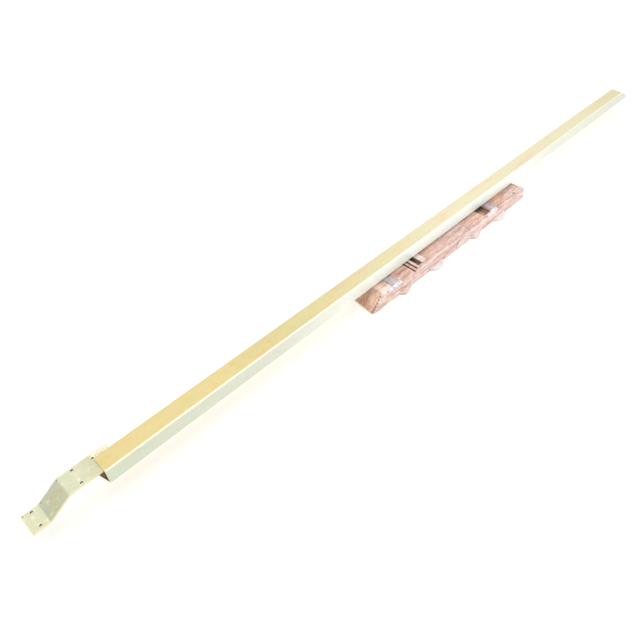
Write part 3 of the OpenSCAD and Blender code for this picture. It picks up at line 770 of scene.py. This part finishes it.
# Colour along the wood relative to plain wood: X in millimetres, and a factor for each channel.
TOP_ZONES = [
    (-400, (1.22, 1.06, 0.90)), (-308, (1.22, 1.06, 0.92)), (-303, (1.22, 1.24, 1.20)),
    (-270, (1.16, 1.16, 1.10)), (-240, (0.98, 0.84, 0.74)), (-190, (1.02, 0.88, 0.80)),
    (-165, (1.06, 1.06, 1.00)), (-128, (1.02, 0.90, 0.84)), (-40, (0.97, 0.87, 0.85)),
    (10, (0.99, 0.94, 0.94)), (60, (0.98, 0.88, 0.84)), (118, (1.02, 0.90, 0.84)),
    (182, (0.98, 0.84, 0.76)), (235, (1.02, 0.90, 0.80)), (262, (0.94, 0.92, 0.92)),
    (300, (1.02, 0.96, 0.96)), (400, (1.0, 0.92, 0.90)),
]


def zone_colour(x, zones):
    """Colour at x, blended between the middles of neighbouring zones."""
    for (x0, first), (x1, second) in zip(zones, zones[1:]):
        if x0 <= x < x1:
            share = (x - x0) / (x1 - x0)
            return tuple(a + (b - a) * share for a, b in zip(first, second))
    return zones[-1][1]


def mottled(colour, x, y, seed):
    """Uneven light and dark, with warmer and cooler patches."""
    patch = fbm(x * 0.05, y * 0.09, seed, 4)
    line = fbm(x * 0.025, y * 0.75, seed + 3.0, 4)
    lift = 1.0 + 0.14 * patch + 0.12 * line
    warm = 0.05 * fbm(x * 0.03, y * 0.05, seed + 7.0)
    return (colour[0] * lift * (1 + warm), colour[1] * lift, colour[2] * lift * (1 - warm))


def top_tint(x, y):
    """Colour of the blade's top relative to plain wood."""
    colour = mottled(zone_colour(x, TOP_ZONES), x, y, 40.0)
    edge = clamp((-43.0 - y) / 8.0)
    colour = (colour[0], colour[1] * (1 + 0.05 * edge), colour[2] * (1 + 0.12 * edge))
    if slot_x - 15.0 < x < slot_x - 8.0 and y > wear_low[1] - 4:
        colour = (1.20 * colour[0], 1.32 * colour[1], 1.40 * colour[2])
    dark = 0.55 * clamp(1 - abs(x + 305.5) / 1.8)
    dark = max(dark, 0.45 * clamp(1 - (y - BLADE_FRONT) / 3.0) * (fbm(x * 0.2, 4.0) > 0.1))
    for band in cuts[:3]:
        for edge in (band.x0, band.x1):
            if band.y0 - 2 < y < band.y1:
                dark = max(dark, 0.5 * clamp(1 - abs(x - edge) / 2.4))
    for dot_x, dot_y in SLOPE_DOTS:
        dark = max(dark, 0.85 * clamp(1.6 - math.hypot(x - dot_x, y - dot_y) / 1.5))
    for ax, ay, bx, by in TOP_CRACKS:
        dark = max(dark, 0.42 * clamp(1.2 - line_distance(x, y, ax, ay, bx, by) / 1.4))
    # On the near slope: dark streaks along the grain, and darker towards the handle, partly dirt and partly
    # painted shade.
    if x < -308:
        streak = abs(math.sin(0.55 * y + 0.16 * x + 1.5 * fbm(x * 0.05, y * 0.05, 3.0)))
        dark = max(dark, 0.22 * (1 - streak) ** 2 + 0.22 * clamp((y + 36) / 26))
    return tuple(c * (1 - dark) for c in colour)


# Front and back faces: colour along X, painted lighter than the top as painted light from the front.
LIT_FRONT_ZONES = [
    (-400, (1.04, 1.02, 0.98)), (-330, (1.10, 1.12, 1.10)), (-270, (1.10, 1.10, 1.08)),
    (-200, (1.08, 1.10, 1.14)), (-150, (1.12, 1.16, 1.22)), (-95, (1.16, 1.16, 1.18)),
    (-40, (1.16, 1.20, 1.24)), (-10, (1.16, 1.20, 1.26)), (40, (1.10, 1.18, 1.24)),
    (90, (1.10, 1.12, 1.14)), (150, (1.18, 1.22, 1.26)), (220, (1.08, 1.08, 1.08)),
    (290, (1.06, 1.08, 1.10)), (400, (1.0, 1.0, 1.0)),
]


def side_tint(x, z):
    """Colour of the blade's front and back faces relative to plain wood, lighter than the top with painted
    light.
    """
    colour = mottled(zone_colour(x, LIT_FRONT_ZONES), x, 1.4 * z, 60.0)
    dark = 0.0
    for ax, az, bx, bz in FRONT_CRACKS:
        strength = 0.72 if ax < 0 else 0.3
        dark = max(dark, strength * clamp(1.3 - line_distance(x, z, ax, az, bx, bz) / 1.6))
    # Painted shade in the lowest 3 mm of the face, where it meets the floor.
    dark = max(dark, 0.25 * clamp(1 - z / 3.0))
    return tuple(c * (1 - dark) for c in colour)


def loft(name, rings, tints):
    """Closed mesh through rings with equal numbers of points, with a colour at each point."""
    count = len(rings[0])
    verts = [tuple(c * MM for c in point) for ring in rings for point in ring]
    faces = []
    for i in range(len(rings) - 1):
        for j in range(count):
            k = (j + 1) % count
            faces.append((i * count + j, i * count + k, (i + 1) * count + k, (i + 1) * count + j))
    colours = [tint for shade in tints for tint in shade]
    for ring_index, flip in ((0, True), (len(rings) - 1, False)):
        middle = len(verts)
        ring = rings[ring_index]
        verts.append(tuple(MM * sum(p[a] for p in ring) / count for a in range(3)))
        colours.append(tints[ring_index][0])
        for j in range(count):
            k = (j + 1) % count
            a, b = ring_index * count + j, ring_index * count + k
            faces.append((b, a, middle) if flip else (a, b, middle))
    mesh = bpy.data.meshes.new(name)
    mesh.from_pydata(verts, [], faces)
    mesh.validate()
    layer = mesh.color_attributes.new("tint", "FLOAT_COLOR", "POINT")
    layer.data.foreach_set("color", [c for colour in colours for c in (*colour, 1.0)])
    face_outwards(mesh)
    smooth(mesh, 38)
    return mesh


add_piece("blade_wood", build_blade(), "blade", "rough_wood", "blade")


# ---------------------------------------------------------------- bars, lugs and weld bead

PLAIN = (1.0, 1.0, 1.0)


def loft_piece(name, rings, body, slot, *stands_for, angle=40):
    mesh = loft(name, rings, [[PLAIN] * len(ring) for ring in rings])
    smooth(mesh, angle)
    return add_piece(name, mesh, body, slot, *stands_for)


def arc(cy, cz, radius, start, stop, steps):
    """Points on part of a circle in the Y-Z plane. Angles in degrees."""
    angles = [math.radians(start + (stop - start) * i / steps) for i in range(steps + 1)]
    return [(cy + radius * math.cos(a), cz + radius * math.sin(a)) for a in angles]


def folded_bar(name, node, seed, narrow=0.0):
    """Strip folded over on itself along its front edge, dented, with the nails' dimples. The part
    of its length given as narrow is worn back to a thin strip."""
    low, high = node_box(node)
    y0, z0, z1 = low[1], low[2], high[2] - 0.12
    radius = (z1 - z0) / 2
    rings = []
    for x in grid_lines(low[0], high[0], 1.0, []):
        worn = 1 - ease(((x - low[0]) / (high[0] - low[0]) - narrow) / 0.1) if narrow else 0.0
        y1 = high[1] - 4.4 * worn
        dent = 0.18 * (0.5 + 0.5 * fbm(x * 0.09, seed)) + 0.12 * (0.5 + 0.5 * fbm(x * 0.4, seed + 5))
        for side in (-1, 1):
            nail_x = (low[0] + high[0]) / 2 + side * ((high[0] - low[0]) / 2 - 6)
            dent += 0.25 * clamp(1.6 - abs(x - nail_x) / 2.0)
        lip = y1 - 3.4 + 2.2 * worn + 0.5 * fbm(x * 0.12, seed + 9)
        back = y1 - 0.25 * (0.5 + 0.5 * fbm(x * 0.25, seed + 2))
        ring = [(back, z0), (back, z0 + 0.75), (lip + 0.15, z0 + 0.8), (lip, z0 + 1.05)]
        ring.append((lip - 0.2, z1 - dent))
        for i in range(1, 6):
            y = lip - 0.2 + (min(y0 + radius, lip - 0.4) - lip + 0.2) * i / 6
            ring.append((y, z1 - dent * (1 - i / 7)))
        ring += arc(y0 + radius, z0 + radius, radius, 90, 270, 8)
        rings.append([(x, y, z) for y, z in ring])
    return loft_piece(name, rings, "blade", "bright_zinc", node)


def round_lug(name, node):
    """Half-round tongue with a rounded rim and a shallow dish, its root in the wood."""
    low, high = node_box(node)
    middle, reach = (low[0] + high[0]) / 2, (high[0] - low[0]) / 2
    out = BLADE_FRONT - low[1]
    radius = (reach * reach + out * out) / (2 * out)
    inner = BLADE_FRONT + 3
    rings = []
    for x in grid_lines(low[0], high[0], 1.4, []):
        u = (x - middle) / reach
        tip = BLADE_FRONT - (math.sqrt(radius * radius - (x - middle) ** 2) - (radius - out)) + 0.1
        root = high[1] if abs(x - middle) < 14.8 else inner
        half = (high[2] - low[2]) / 2 - 0.2
        mid = (high[2] + low[2]) / 2
        length = inner - tip
        ring = [(root, mid - half), (root, mid + half)]
        for i in range(9):
            v = i / 8
            dish = 0.9 * math.sin(math.pi * min(1.0, v * 1.05)) * (1 - u * u)
            ring.append((inner + (tip + half - inner) * v, mid + half - dish * clamp(length / 8)))
        ring += arc(tip + half, mid, half, 90, 270, 6)[1:]
        rings.append([(x, y, z) for y, z in ring])
    repaint(loft_piece(name, rings, "blade", "bright_zinc", node), LUG)


def weld_bead():
    """Hand-laid bead with its ripples, between the upper flange's edge and the strap."""
    low, high = node_box("strap_weld")
    y0, y1, z0, z1 = low[1], high[1], low[2], high[2]
    rings = []
    for x in grid_lines(low[0], high[0], 0.3, []):
        end = min(1.0, (x - low[0] + 0.4) / 2.0, (high[0] - x + 0.4) / 2.0)
        ring = [(y0 + 0.05, z0 + 0.02)]
        for i in range(11):
            t = i / 10
            phase = math.pi * (x + 1.1 * math.sin(math.pi * t)) / 2.1
            ripple = abs(math.sin(phase + 0.6 * fbm(x * 0.1, 3.0)))
            swell = math.sqrt(max(0.0, end)) * (0.72 + 0.26 * ripple + 0.05 * fbm(x * 0.5, t * 3.0))
            y = y0 + 0.05 + (y1 - y0 - 0.1) * t * (0.84 + 0.15 * ripple) * math.sqrt(max(0.0, end))
            z = z0 + 0.03 + (z1 - z0 - 0.06) * swell * math.cos(0.5 * math.pi * t) ** 0.55
            ring.append((y, z))
        rings.append([(x, y, z) for y, z in reversed(ring)])
    repaint(loft_piece("weld_bead", rings, "handle", "bright_zinc", "strap_weld", angle=60), WELD)


folded_bar("near_folded_bar", "near_band_bar", 12.0)
folded_bar("far_folded_bar", "far_band_bar", 27.0, 0.42)
round_lug("near_round_lug", "near_lug")
round_lug("far_round_lug", "far_lug")
weld_bead()


# ---------------------------------------------------------------- wing nut

# Outlines as (radius, height above the nut's foot). WING is drawn for wings that reach WING_REACH.
WING_REACH = 16.5
WING = [(5.4, 1.0), (7.6, 1.3), (10.0, 2.6), (13.0, 5.2), (15.3, 8.6), (16.3, 12.2), (15.9, 14.4),
        (14.6, 14.9), (12.6, 14.3), (10.9, 12.4), (9.0, 10.2), (7.2, 9.2), (5.4, 8.9)]
HUB = [(4.15, 0.3), (4.7, 0.0), (7.6, 0.0), (7.95, 0.4), (7.6, 1.4), (7.3, 5.0), (6.95, 8.3), (6.5, 8.9),
       (4.7, 9.0), (4.15, 8.7)]


def wing_nut_mesh():
    """Cast nut: a tapered hub with a bore, and two rounded wings that thin towards their tips."""
    low, high = node_box("wing_nut")
    z0, scale_out = low[2], high[0] / WING_REACH
    outline = [(r * scale_out, z) for r, z in WING]
    verts, faces = [], []
    steps = 48
    for r, z in HUB:
        for i in range(steps):
            a = 2 * math.pi * i / steps
            verts.append((r * math.cos(a), r * math.sin(a), z0 + z))
    for k in range(len(HUB)):
        m = (k + 1) % len(HUB)
        for i in range(steps):
            j = (i + 1) % steps
            faces.append((k * steps + i, k * steps + j, m * steps + j, m * steps + i))
    middle_r = sum(r for r, _ in outline) / len(outline)
    middle_z = sum(z for _, z in outline) / len(outline)
    for side in (-1, 1):
        base = len(verts)
        layers = [(0.80, -1.0), (0.94, -0.85), (1.0, -0.4), (1.0, 0.4), (0.94, 0.85), (0.80, 1.0)]
        for scale, across in layers:
            for r, z in outline:
                thick = 1.5 - 0.45 * clamp((r - 6) / 10)
                pr = middle_r + (r - middle_r) * scale
                pz = middle_z + (z - middle_z) * scale
                verts.append((side * pr, across * thick, z0 + pz))
        count = len(outline)
        for k in range(len(layers) - 1):
            for i in range(count):
                j = (i + 1) % count
                faces.append((base + k * count + i, base + k * count + j,
                              base + (k + 1) * count + j, base + (k + 1) * count + i))
        faces.append(tuple(base + i for i in range(count)))
        faces.append(tuple(base + (len(layers) - 1) * count + i for i in reversed(range(count))))
    mesh = bpy.data.meshes.new("cast_wing_nut")
    mesh.from_pydata([tuple(c * MM for c in v) for v in verts], [], faces)
    mesh.validate()
    face_outwards(mesh)
    smooth(mesh, 50)
    return mesh


add_piece("cast_wing_nut", wing_nut_mesh(), "wing_nut", "bright_zinc", "wing_nut")
